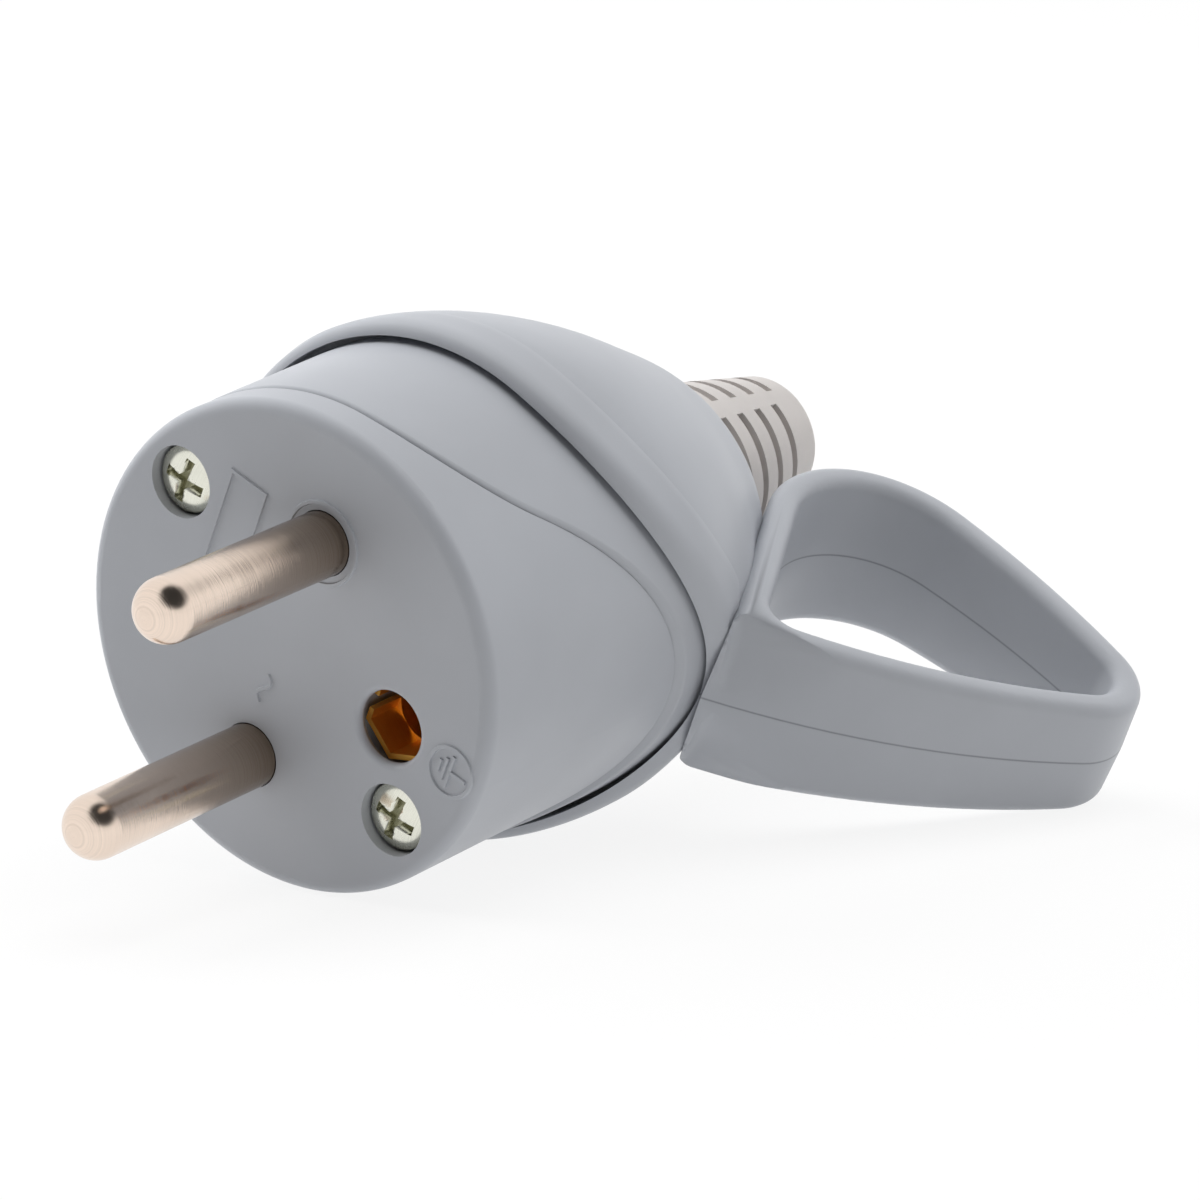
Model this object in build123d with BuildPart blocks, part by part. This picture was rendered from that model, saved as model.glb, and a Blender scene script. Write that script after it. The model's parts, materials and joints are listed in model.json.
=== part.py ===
from build123d import *
import os
from math import asin, atan2, cos, hypot, radians, sin, sqrt, tan

# A rewirable two-pole-and-earth plug with a pull ring, lying as it comes to rest.
# Lengths are millimetres and angles degrees. The plug's own axes are x, from the middle of
# the face towards the earth hole and the pull ring, y, along the row of the two pins, and
# depth, from the face back along the plug's axis. The origin is the middle of the face.

# Contact pattern
PIN_R = 2.4
PIN_LENGTH = 19.0
PIN_PITCH = 19.0
EARTH_OFFSET = 10.0
EARTH_PIN_R = 2.4
EARTH_HOLE_R = 2.7

# Clearances
SLIDE_GAP = 0.15
SPLIT_GAP = 0.15
COLLAR_GAP = 0.3
THREAD_GAP = 0.05
CONTACT_GAP = 0.05

# Front body
BODY_R = 18.35
BODY_WALL = 1.8
FACE_THICK = 5.0
FACE_ROUND = 1.0
EARTH_LIP = 0.5
SPIGOT_WALL = 1.4
SPIGOT_DEPTH = 3.5

# Split line between front body and rear cover, drawn in the side view
SPLIT_LOW = 3.2
SPLIT_HIGH = 22.6
SPLIT_CORNER_X = 5.9
SPLIT_BEND_R = 14.5

# Rear cover, with a skirt that widens backwards and runs on under the collar
SKIRT_R = 18.35
SKIRT_DRAFT = 1.1
SKIRT_ROUND = 0.5
SKIRT_LAP = 1.2
CORE_R = 17.8
CORE_STRAIGHT = 20.0
CORE_END_R = 10.4
COVER_BACK = 38.0
COVER_BACK_THICK = 2.5
COVER_WALL = 2.2
CORD_HOLE_R = 5.3

# Front edge of the pull ring's collar, drawn in the side view
COLLAR_LOW = 15.7
COLLAR_BEND_X = -2.0
COLLAR_BEND_R = 25.0

# Collar and dome of the pull ring
COLLAR_R = 20.1
COLLAR_ROUND = 1.2
COLLAR_TILT = 13.0
SHOULDER_DEPTH = 20.0
DOME_FULLNESS = 1.5
DOME_STEPS = 5
COLLAR_STEPS = 3
FACET_R = 11.9
FACET_DEPTH = 39.8
FACET_TILT = 7.0
FACET_END_R = 9.3
DOME_BACK = 43.4

# Loop of the pull ring, drawn in the side view as (x, depth)
HOLE_ROOT = (20.4, 29.2)
HOLE_TIP = (39.6, 52.1)
HOLE_HEEL = (7.6, 52.8)
ARM_BOW_R = 63.2
BRIDGE_BOW_R = 62.0
ROOT_ROUND = 1.8
TIP_ROUND = 3.0
HEEL_ROUND = 7.8
LOOP_THICK = 2.7
LOOP_HALF_AT_FACE = 9.4
LOOP_TAPER = 4.5
LOOP_TAPER_LEAN = 26.0
LOOP_DRAFT = 2.0
LOOP_ROUND = 1.0

# Where the loop's tip meets the table, as shares of the tip's rounding
TIP_CUT = 0.38
TIP_BACK = 0.84

# Cord boot
BOOT_FLANGE_R = 9.9
BOOT_FLANGE_THICK = 2.0
BOOT_BASE_R = 8.1
BOOT_END_R = 4.85
BOOT_BACK = 59.2
BOOT_END_ROUND = 1.0
BOOT_BORE_R = 3.7
GROOVE_COUNT = 4
GROOVE_FIRST = 46.15
GROOVE_PITCH = 2.74
GROOVE_WIDTH = 0.8
GROOVE_FLARE = 0.3
GROOVE_DEPTH = 1.1
UPPER_GROOVE_START = -73.0
UPPER_GROOVE_SPAN = 146.0
LOWER_GROOVE_START = 87.0
LOWER_GROOVE_SPAN = 186.0

# Cover screws and the bosses that they join
SCREW_X = 12.7
SCREW_Y = 6.4
SCREW_HEAD_R = 2.5
SCREW_HEAD_TOP = 0.5
SCREW_DOME = 0.8
SCREW_SEAT = 2.6
SCREW_SHANK_R = 1.45
SCREW_LENGTH = 18.4
SCREW_POINT = 0.8
CROSS_LENGTH = 3.4
CROSS_WIDTH = 0.8
CROSS_DEPTH = 1.1
RECESS_R = 2.7
BOSS_R = 3.0
BOSS_MEET = 12.0
BOSS_BACK = 22.5
PILOT_SPARE = 0.5

# Terminals on the pins and on the earth contact
SHOULDER_SEAT = 2.0
PIN_NECK_R = 2.25
PIN_SHOULDER_R = 3.0
TERMINAL_R = 3.4
TERMINAL_LENGTH = 9.0
WIRE_HOLE_R = 1.4
WIRE_HOLE_DEPTH = 7.0
TERMINAL_SCREW_BACK = 4.0
EARTH_SEAT = 1.5
EARTH_STRIP = 0.4
EARTH_GRIP_LENGTH = 3.0
EARTH_GRIP_SIDES = 6
EARTH_SLEEVE_LENGTH = 10.5
EARTH_SLIT = 1.2
EARTH_SLIT_LENGTH = 12.0
HOLDER_WALL = 1.2
HOLDER_DEPTH = 6.5

# Small screws, in the terminals and in the cord clamp
SMALL_SHANK_R = 1.2
SMALL_HEAD_R = 2.1
SMALL_HEAD_THICK = 1.4
TERMINAL_SCREW_LENGTH = 3.2
CLAMP_SCREW_LENGTH = 7.0
SLOT_WIDTH = 0.6
SLOT_DEPTH = 0.7

# Cord clamp and the posts that carry it
CLAMP_SEAT_X = 1.5
CLAMP_PLATE = 2.6
CLAMP_HALF_SPAN = 7.5
CLAMP_HALF_LENGTH = 9.8
CLAMP_FRONT = 24.5
CLAMP_WIDTH = 5.0
CLAMP_ARCH_R = 4.0
CLAMP_ARCH_WALL = 2.0
POST_WIDTH = 4.6

# Reach of a cutting tool, past everything
REACH = 90.0

# Radii and depths that follow from the sizes above
bore_r = BODY_R - BODY_WALL
spigot_r = bore_r - SLIDE_GAP
spigot_end = SPLIT_LOW + SPIGOT_DEPTH
plate_middle = SPLIT_LOW / 2
sleeve_bore_r = EARTH_PIN_R + CONTACT_GAP
sleeve_r = sleeve_bore_r + EARTH_STRIP
sleeve_front = EARTH_SEAT + EARTH_GRIP_LENGTH
holder_r = sleeve_r / cos(radians(180 / EARTH_GRIP_SIDES)) + SLIDE_GAP
pin_places = ((0, PIN_PITCH / 2), (0, -PIN_PITCH / 2))
near_screw = (SCREW_X, SCREW_Y)
far_screw = (-SCREW_X, -SCREW_Y)
screw_end = SCREW_SEAT + SCREW_LENGTH
cavity_back = COVER_BACK - COVER_BACK_THICK
cavity_r = CORE_R - COVER_WALL
core_slope = (CORE_R - CORE_END_R) / (COVER_BACK - CORE_STRAIGHT)
cavity_end_r = cavity_r - core_slope * (cavity_back - CORE_STRAIGHT)
cavity_straight = CORE_STRAIGHT - (bore_r - cavity_r)
flange_back = COVER_BACK + BOOT_FLANGE_THICK
boot_slope = (BOOT_BASE_R - BOOT_END_R) / (BOOT_BACK - DOME_BACK)
pin_terminal_front = FACE_THICK + SLIDE_GAP
pin_terminal_back = pin_terminal_front + TERMINAL_LENGTH
earth_terminal_front = sleeve_front + EARTH_SLEEVE_LENGTH
earth_terminal_back = earth_terminal_front + TERMINAL_LENGTH
clamp_middle = CLAMP_FRONT + CLAMP_WIDTH / 2
clamp_pilot = CLAMP_SCREW_LENGTH - CLAMP_PLATE + PILOT_SPARE


def collar_edge(x):
    """Depth of the collar's front edge at a given x."""
    run = max(x - COLLAR_BEND_X, 0)
    return COLLAR_LOW + COLLAR_BEND_R - sqrt(COLLAR_BEND_R**2 - run**2)


def skirt_radius(depth):
    """Outer radius of the skirt at a depth."""
    return SKIRT_R + depth * tan(radians(SKIRT_DRAFT))


def loop_half_width(run):
    """Half the loop's width at a run along its taper, which leans back from the x axis."""
    return LOOP_HALF_AT_FACE - run * tan(radians(LOOP_TAPER))


def lying_pose():
    """Pitch and roll with the face rim, the collar and the loop's tip on the table."""
    lean = radians(LOOP_TAPER_LEAN)
    tip_x = HOLE_TIP[0] + LOOP_THICK - TIP_CUT * TIP_ROUND
    tip_run = HOLE_TIP[1] - TIP_BACK * TIP_ROUND - FACE_ROUND
    tip_half = loop_half_width(tip_x * cos(lean) + HOLE_TIP[1] * sin(lean))
    touch_x = tip_x - tip_half * tan(radians(LOOP_DRAFT)) - LOOP_ROUND
    touch_y = tip_half - LOOP_ROUND
    roll_angle = radians(COLLAR_TILT)
    for _ in range(6):
        collar_run = collar_edge(COLLAR_R * sin(roll_angle)) + COLLAR_ROUND - FACE_ROUND
        slope = (COLLAR_R - BODY_R) / collar_run
        drop = BODY_R + slope * tip_run - LOOP_ROUND
        roll_angle = asin(drop / hypot(touch_x, touch_y)) - atan2(touch_y, touch_x)
    return atan2(slope, 1), roll_angle


# Planes of the lying plug: FACE looks back along the axis, SIDE holds the side view
pitch, roll = lying_pose()
axis_dir = Vector(0, cos(pitch), sin(pitch))
earth_dir = Vector(cos(roll), sin(roll) * sin(pitch), -sin(roll) * cos(pitch))
FACE = Plane(origin=(0, 0, 0), x_dir=earth_dir, z_dir=axis_dir)
SIDE = Plane(origin=(0, 0, 0), x_dir=earth_dir, z_dir=-FACE.y_dir)
PLUG_AXIS = Axis((0, 0, 0), axis_dir)


def place(x, y, depth):
    """A point given in the plug's own axes."""
    return FACE.from_local_coords((x, y, depth))


EARTH_AXIS = Axis(place(EARTH_OFFSET, 0, 0), axis_dir)


def side_plane(x, y):
    """The side view moved so that its depth axis passes through (x, y)."""
    return Plane(origin=place(x, y, 0), x_dir=earth_dir, z_dir=SIDE.z_dir)


def turned_plane(angle):
    """The side view turned about the plug's axis."""
    radial = earth_dir * cos(radians(angle)) + FACE.y_dir * sin(radians(angle))
    return Plane(origin=(0, 0, 0), x_dir=radial, z_dir=radial.cross(axis_dir))


def turning_profile(points, plane=SIDE):
    """Closed half section of a turned piece, given as (radius, depth) points."""
    with BuildSketch(plane) as section:
        with BuildLine():
            Polyline(*points, close=True)
        make_face()
    return section.sketch


def split_region(back, gap):
    """Side-view region behind the split line, or in front of it, drawn back by a gap."""
    slope = (SPLIT_HIGH - SPLIT_LOW) / (BODY_R - SPLIT_CORNER_X)
    end_depth = SPLIT_LOW + slope * (REACH - SPLIT_CORNER_X)
    far_depth = end_depth + REACH if back else -REACH
    with BuildSketch(SIDE) as region:
        with BuildLine():
            line = FilletPolyline(
                (-REACH, SPLIT_LOW + gap),
                (SPLIT_CORNER_X, SPLIT_LOW + gap),
                (REACH, end_depth + gap),
                radius=SPLIT_BEND_R,
            )
            Polyline(line @ 1, (REACH, far_depth), (-REACH, far_depth), line @ 0)
        make_face()
    return region.sketch


def collar_region(back, gap):
    """Side-view region behind the collar's front edge, or in front of it."""
    far_depth = REACH if back else -REACH
    low = COLLAR_LOW - gap
    with BuildSketch(SIDE) as region:
        with BuildLine():
            flat = Line((-REACH, low), (COLLAR_BEND_X, low))
            bend = JernArc(flat @ 1, (1, 0), COLLAR_BEND_R, 90)
            top = bend @ 1
            edge = Line(top, (REACH, top.Y))
            Polyline(edge @ 1, (REACH, far_depth), (-REACH, far_depth), flat @ 0)
        make_face()
    return region.sketch


def tilted(depth, tilt):
    """Plane across the axis at a depth, leaning back on the loop's side."""
    lean = radians(tilt)
    return Plane(
        origin=place(0, 0, depth),
        x_dir=earth_dir * cos(lean) + axis_dir * sin(lean),
        z_dir=axis_dir * cos(lean) - earth_dir * sin(lean),
    )


def dome_ring(depth, tilt, radius):
    """Ring round the dome on a leaning plane, a circle when seen along the axis."""
    with BuildSketch(tilted(depth, tilt)) as ring:
        Ellipse(radius / cos(radians(tilt)), radius)
    return ring.sketch


def dome_station(share):
    """Ring at a share of the way from the shoulder to the facet, negative on the collar."""
    bent = max(share, 0)
    depth = SHOULDER_DEPTH + share * (FACET_DEPTH - SHOULDER_DEPTH)
    tilt = COLLAR_TILT + bent * (FACET_TILT - COLLAR_TILT)
    radius = COLLAR_R - (COLLAR_R - FACET_R) * bent**DOME_FULLNESS
    return dome_ring(depth, tilt, radius)


behind_split = split_region(True, 0)
before_cover = split_region(False, SPLIT_GAP)
behind_skirt = collar_region(True, -SKIRT_LAP)
behind_lip = collar_region(True, -SKIRT_LAP - SLIDE_GAP)
before_collar = collar_region(False, 0)
lip_bore_r = skirt_radius(collar_edge(CORE_R) + SKIRT_LAP) + COLLAR_GAP
CLAMP = Plane(origin=place(CLAMP_SEAT_X, 0, clamp_middle), x_dir=FACE.y_dir, z_dir=earth_dir)
clamp_places = ((CLAMP_HALF_SPAN, 0), (-CLAMP_HALF_SPAN, 0))

os.makedirs("parts", exist_ok=True)

# Front body: a drum with the face, cut back along the split line, and the inner fittings
with BuildPart() as front_body:
    with BuildSketch(FACE):
        Circle(BODY_R)
    extrude(amount=SPLIT_HIGH + FACE_THICK)
    fillet(front_body.edges().sort_by(PLUG_AXIS)[0], FACE_ROUND)
    extrude(behind_split, amount=REACH, both=True, mode=Mode.SUBTRACT)
    with BuildSketch(FACE.offset(plate_middle)):
        Circle(spigot_r)
    extrude(amount=spigot_end - plate_middle)
    with BuildSketch(FACE.offset(FACE_THICK)):
        Circle(spigot_r - SPIGOT_WALL)
    extrude(amount=spigot_end - FACE_THICK, mode=Mode.SUBTRACT)
    with BuildSketch(FACE.offset(spigot_end)):
        Circle(bore_r)
    extrude(amount=REACH, mode=Mode.SUBTRACT)
    with BuildSketch(FACE.offset(plate_middle)):
        with Locations(near_screw):
            Circle(BOSS_R)
        Circle(BODY_R - BODY_WALL / 2, mode=Mode.INTERSECT)
    extrude(amount=BOSS_MEET - plate_middle)
    with BuildSketch(FACE.offset(plate_middle)):
        with Locations(far_screw):
            Circle(BOSS_R)
        Circle(spigot_r, mode=Mode.INTERSECT)
    extrude(amount=BOSS_MEET - plate_middle)
    with BuildSketch(FACE.offset(plate_middle)):
        with Locations((EARTH_OFFSET, 0)):
            Circle(holder_r + HOLDER_WALL)
    extrude(amount=FACE_THICK + HOLDER_DEPTH - plate_middle)
    with BuildSketch(FACE):
        with Locations(*pin_places):
            Circle(PIN_R + CONTACT_GAP)
    extrude(amount=REACH, mode=Mode.SUBTRACT)
    with BuildSketch(FACE.offset(SHOULDER_SEAT)):
        with Locations(*pin_places):
            Circle(PIN_SHOULDER_R + SLIDE_GAP)
    extrude(amount=REACH, mode=Mode.SUBTRACT)
    with BuildSketch(side_plane(EARTH_OFFSET, 0)):
        with BuildLine():
            lip = CenterArc((EARTH_HOLE_R + EARTH_LIP, EARTH_LIP), EARTH_LIP, 180, 90)
            Polyline(
                lip @ 1,
                (0, 0),
                (0, REACH),
                (holder_r, REACH),
                (holder_r, EARTH_SEAT),
                lip @ 0,
            )
        make_face()
    revolve(axis=EARTH_AXIS, mode=Mode.SUBTRACT)
    with BuildSketch(FACE):
        with Locations(near_screw, far_screw):
            Circle(RECESS_R)
    extrude(amount=SCREW_SEAT, mode=Mode.SUBTRACT)
    with BuildSketch(FACE.offset(SCREW_SEAT)):
        with Locations(near_screw, far_screw):
            Circle(SCREW_SHANK_R + SLIDE_GAP)
    extrude(amount=REACH, mode=Mode.SUBTRACT)
front_body.part.label = "front_body"
export_step(front_body.part, "parts/front_body.step")

# Blanks for the rear cover: the skirt that shows, the core under the pull ring, the space inside
with BuildPart() as cover_skirt:
    skirt_points = (
        (0, 0),
        (SKIRT_R, 0),
        (skirt_radius(COVER_BACK), COVER_BACK),
        (0, COVER_BACK),
    )
    revolve(turning_profile(skirt_points), PLUG_AXIS)
    extrude(before_cover, amount=REACH, both=True, mode=Mode.SUBTRACT)
    skirt_wall = cover_skirt.faces().filter_by(GeomType.CONE).sort_by(SortBy.AREA)[-1]
    skirt_rim = skirt_wall.edges().filter_by(GeomType.LINE, reverse=True)
    fillet(skirt_rim.sort_by(PLUG_AXIS)[:-1], SKIRT_ROUND)
    extrude(behind_skirt, amount=REACH, both=True, mode=Mode.SUBTRACT)

with BuildPart() as cover_core:
    core_points = (
        (0, 0),
        (CORE_R, 0),
        (CORE_R, CORE_STRAIGHT),
        (CORE_END_R, COVER_BACK),
        (0, COVER_BACK),
    )
    revolve(turning_profile(core_points), PLUG_AXIS)
    extrude(before_cover, amount=REACH, both=True, mode=Mode.SUBTRACT)

with BuildPart() as cover_space:
    space_points = (
        (0, 0),
        (bore_r, 0),
        (bore_r, cavity_straight),
        (cavity_r, CORE_STRAIGHT),
        (cavity_end_r, cavity_back),
        (0, cavity_back),
    )
    revolve(turning_profile(space_points), PLUG_AXIS)
    with BuildSketch(FACE.offset(BOSS_MEET)):
        with Locations(near_screw, far_screw):
            Circle(BOSS_R)
    extrude(amount=BOSS_BACK - BOSS_MEET, mode=Mode.SUBTRACT)
    with BuildSketch(CLAMP):
        with Locations(*clamp_places):
            Rectangle(POST_WIDTH, CLAMP_WIDTH)
    extrude(amount=-REACH, mode=Mode.SUBTRACT)

# Rear cover: skirt and core hollowed out, with bosses for the cover screws and clamp posts
with BuildPart() as rear_cover:
    add(cover_skirt.part)
    add(cover_core.part)
    add(cover_space.part, mode=Mode.SUBTRACT)
    with BuildSketch(FACE.offset(BOSS_MEET)):
        with Locations(near_screw):
            Circle(BOSS_R)
        Circle(spigot_r, mode=Mode.INTERSECT)
    extrude(amount=BOSS_BACK - BOSS_MEET)
    with BuildSketch(FACE.offset(BOSS_MEET)):
        with Locations(near_screw, far_screw):
            Circle(SCREW_SHANK_R + THREAD_GAP)
    extrude(amount=screw_end + PILOT_SPARE - BOSS_MEET, mode=Mode.SUBTRACT)
    with BuildSketch(FACE.offset(cavity_back)):
        Circle(CORD_HOLE_R)
    extrude(amount=COVER_BACK_THICK, mode=Mode.SUBTRACT)
    with BuildSketch(CLAMP):
        with Locations(*clamp_places):
            Circle(SMALL_SHANK_R + THREAD_GAP)
    extrude(amount=-clamp_pilot, mode=Mode.SUBTRACT)
rear_cover.part.label = "rear_cover"
export_step(rear_cover.part, "parts/rear_cover.step")

# Blanks for the pull ring: the collar with its dome, and the finger loop
with BuildPart() as dome:
    loft([dome_station(step / DOME_STEPS) for step in range(-COLLAR_STEPS, DOME_STEPS + 1)])
    loft([dome_station(1), dome_ring(DOME_BACK, 0, FACET_END_R)], ruled=True)
    extrude(before_collar, amount=REACH, both=True, mode=Mode.SUBTRACT)
    front_faces = dome.faces().filter_by(GeomType.CYLINDER)
    front_faces += dome.faces().filter_by(GeomType.PLANE).sort_by(PLUG_AXIS)[:1]
    fillet(front_faces.edges().filter_by(GeomType.LINE, reverse=True), COLLAR_ROUND)

with BuildPart() as lip_space:
    with BuildSketch(FACE):
        Circle(lip_bore_r)
    extrude(amount=DOME_BACK)
    extrude(behind_lip, amount=REACH, both=True, mode=Mode.SUBTRACT)

with BuildSketch(SIDE) as loop_form:
    with BuildLine():
        RadiusArc(HOLE_ROOT, HOLE_TIP, -ARM_BOW_R)
        RadiusArc(HOLE_TIP, HOLE_HEEL, -BRIDGE_BOW_R)
        Line(HOLE_HEEL, HOLE_ROOT)
    make_face()
    fillet(loop_form.vertices().sort_by(Axis.X)[-1], TIP_ROUND)
    fillet(loop_form.vertices().sort_by(Axis.X)[0], HEEL_ROUND)

with BuildSketch(SIDE) as loop_hole:
    add(loop_form.sketch_local)
    fillet(loop_hole.vertices().sort_by(Axis.Y)[0], ROOT_ROUND)

with BuildSketch(SIDE) as loop_outline:
    offset(loop_form.sketch_local, amount=LOOP_THICK, kind=Kind.INTERSECTION)
    add(loop_hole.sketch_local, mode=Mode.SUBTRACT)

with BuildPart() as loop:
    extrude(loop_outline.sketch, amount=LOOP_HALF_AT_FACE, both=True, taper=LOOP_DRAFT)
    with BuildSketch(tilted(0, LOOP_TAPER_LEAN)):
        with BuildLine():
            Polyline(
                (0, LOOP_HALF_AT_FACE),
                (REACH, loop_half_width(REACH)),
                (REACH, -loop_half_width(REACH)),
                (0, -LOOP_HALF_AT_FACE),
                close=True,
            )
        make_face()
    extrude(amount=REACH, both=True, mode=Mode.INTERSECT)
    flanks = loop.faces().filter_by(lambda face: abs(face.normal_at().dot(FACE.y_dir)) > 0.9)
    fillet(flanks.edges(), LOOP_ROUND)

# Pull ring: dome and loop in one, hollowed to sit over the core and the boot's flange
with BuildPart() as pull_ring:
    add(dome.part)
    add(loop.part)
    ring_space_points = (
        (0, 0),
        (CORE_R + SLIDE_GAP, 0),
        (CORE_R + SLIDE_GAP, CORE_STRAIGHT),
        (CORE_END_R + SLIDE_GAP, COVER_BACK),
        (BOOT_FLANGE_R + SLIDE_GAP, COVER_BACK),
        (BOOT_FLANGE_R + SLIDE_GAP, flange_back),
        (BOOT_BASE_R + SLIDE_GAP, flange_back),
        (BOOT_BASE_R + SLIDE_GAP, DOME_BACK),
        (BOOT_END_R + SLIDE_GAP, BOOT_BACK),
        (0, BOOT_BACK),
    )
    revolve(turning_profile(ring_space_points), PLUG_AXIS, mode=Mode.SUBTRACT)
    add(lip_space.part, mode=Mode.SUBTRACT)
pull_ring.part.label = "pull_ring"
export_step(pull_ring.part, "parts/pull_ring.step")

# Cord boot: a tapered sleeve with a flange, slit from two sides so that it bends
with BuildPart() as cord_boot:
    boot_points = (
        (BOOT_BORE_R, COVER_BACK),
        (BOOT_FLANGE_R, COVER_BACK),
        (BOOT_FLANGE_R, flange_back),
        (BOOT_BASE_R, flange_back),
        (BOOT_BASE_R, DOME_BACK),
        (BOOT_END_R, BOOT_BACK),
        (BOOT_BORE_R, BOOT_BACK),
    )
    revolve(turning_profile(boot_points), PLUG_AXIS)
    end_edges = cord_boot.faces().sort_by(PLUG_AXIS)[-1].edges().filter_by(GeomType.CIRCLE)
    fillet(end_edges.sort_by(SortBy.RADIUS)[-1], BOOT_END_ROUND)
    for start, span, shift in (
        (UPPER_GROOVE_START, UPPER_GROOVE_SPAN, 0),
        (LOWER_GROOVE_START, LOWER_GROOVE_SPAN, GROOVE_PITCH / 2),
    ):
        for row in range(GROOVE_COUNT):
            groove_front = GROOVE_FIRST + shift + row * GROOVE_PITCH
            floor_r = BOOT_BASE_R - boot_slope * (groove_front - DOME_BACK) - GROOVE_DEPTH
            groove_back = groove_front + GROOVE_WIDTH
            groove_points = (
                (floor_r, groove_front),
                (floor_r + GROOVE_DEPTH / 2, groove_front),
                (BOOT_BASE_R, groove_front - GROOVE_FLARE),
                (BOOT_BASE_R, groove_back + GROOVE_FLARE),
                (floor_r + GROOVE_DEPTH / 2, groove_back),
                (floor_r, groove_back),
            )
            groove = turning_profile(groove_points, turned_plane(start))
            revolve(groove, PLUG_AXIS, revolution_arc=span, mode=Mode.SUBTRACT)
cord_boot.part.label = "cord_boot"
export_step(cord_boot.part, "parts/cord_boot.step")

# Pins: round-tipped, with a shoulder in the face plate and a screw terminal behind it
for pin_name, pin_y in (("line_pin", PIN_PITCH / 2), ("neutral_pin", -PIN_PITCH / 2)):
    with BuildPart() as pin:
        with BuildSketch(side_plane(0, pin_y)):
            with BuildLine():
                tip = CenterArc((0, PIN_R - PIN_LENGTH), PIN_R, -90, 90)
                Polyline(
                    tip @ 1,
                    (PIN_R, 0),
                    (PIN_NECK_R, 0),
                    (PIN_NECK_R, SHOULDER_SEAT),
                    (PIN_SHOULDER_R, SHOULDER_SEAT),
                    (PIN_SHOULDER_R, pin_terminal_front),
                    (TERMINAL_R, pin_terminal_front),
                    (TERMINAL_R, pin_terminal_back),
                    (0, pin_terminal_back),
                    tip @ 0,
                )
            make_face()
        revolve(axis=Axis(place(0, pin_y, 0), axis_dir))
        with BuildSketch(FACE.offset(pin_terminal_back)):
            with Locations((0, pin_y)):
                Circle(WIRE_HOLE_R)
        extrude(amount=-WIRE_HOLE_DEPTH, mode=Mode.SUBTRACT)
        screw_at = place(0, pin_y, pin_terminal_back - TERMINAL_SCREW_BACK)
        with BuildSketch(Plane(origin=screw_at, x_dir=axis_dir, z_dir=earth_dir)):
            Circle(SMALL_SHANK_R + THREAD_GAP)
        extrude(amount=TERMINAL_R, mode=Mode.SUBTRACT)
    pin.part.label = pin_name
    export_step(pin.part, f"parts/{pin_name}.step")

# Earth contact: a slit sleeve with a folded mouth for the socket's earth pin, and a terminal
with BuildPart() as earth_contact:
    with BuildSketch(FACE.offset(EARTH_SEAT)):
        with Locations((EARTH_OFFSET, 0)):
            RegularPolygon(sleeve_r, EARTH_GRIP_SIDES, major_radius=False, rotation=90)
            RegularPolygon(
                sleeve_bore_r,
                EARTH_GRIP_SIDES,
                major_radius=False,
                rotation=90,
                mode=Mode.SUBTRACT,
            )
    extrude(amount=EARTH_GRIP_LENGTH)
    earth_points = (
        (sleeve_bore_r, sleeve_front),
        (sleeve_r, sleeve_front),
        (sleeve_r, earth_terminal_front),
        (TERMINAL_R, earth_terminal_front),
        (TERMINAL_R, earth_terminal_back),
        (0, earth_terminal_back),
        (0, earth_terminal_front),
        (sleeve_bore_r, earth_terminal_front),
    )
    earth_section = turning_profile(earth_points, side_plane(EARTH_OFFSET, 0))
    revolve(earth_section, EARTH_AXIS)
    with BuildSketch(FACE.offset(EARTH_SEAT)):
        with Locations((EARTH_OFFSET, 0)):
            Rectangle(2 * sleeve_r, EARTH_SLIT, align=(Align.MAX, Align.CENTER))
    extrude(amount=EARTH_SLIT_LENGTH, mode=Mode.SUBTRACT)
    with BuildSketch(FACE.offset(earth_terminal_back)):
        with Locations((EARTH_OFFSET, 0)):
            Circle(WIRE_HOLE_R)
    extrude(amount=-WIRE_HOLE_DEPTH, mode=Mode.SUBTRACT)
    screw_at = place(EARTH_OFFSET, 0, earth_terminal_back - TERMINAL_SCREW_BACK)
    with BuildSketch(Plane(origin=screw_at, x_dir=axis_dir, z_dir=-earth_dir)):
        Circle(SMALL_SHANK_R + THREAD_GAP)
    extrude(amount=TERMINAL_R, mode=Mode.SUBTRACT)
earth_contact.part.label = "earth_contact"
export_step(earth_contact.part, "parts/earth_contact.step")

# Terminal screws: one on each pin from the earth side, one on the earth contact from the axis
pin_screw_depth = pin_terminal_back - TERMINAL_SCREW_BACK
earth_screw_depth = earth_terminal_back - TERMINAL_SCREW_BACK
terminal_seat = TERMINAL_R + SLIDE_GAP
with BuildPart() as terminal_screws:
    for screw_at, screw_dir in (
        (place(0, PIN_PITCH / 2, pin_screw_depth), earth_dir),
        (place(0, -PIN_PITCH / 2, pin_screw_depth), earth_dir),
        (place(EARTH_OFFSET, 0, earth_screw_depth), -earth_dir),
    ):
        across = Plane(origin=screw_at, x_dir=axis_dir, z_dir=screw_dir).offset(terminal_seat)
        with BuildSketch(across):
            Circle(SMALL_HEAD_R)
        extrude(amount=SMALL_HEAD_THICK)
        with BuildSketch(across):
            Circle(SMALL_SHANK_R)
        extrude(amount=-TERMINAL_SCREW_LENGTH)
        with BuildSketch(across.offset(SMALL_HEAD_THICK)):
            Rectangle(2 * SMALL_HEAD_R, SLOT_WIDTH)
        extrude(amount=-SLOT_DEPTH, mode=Mode.SUBTRACT)
terminal_screws.part.label = "terminal_screws"
export_step(terminal_screws.part, "parts/terminal_screws.step")

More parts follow.
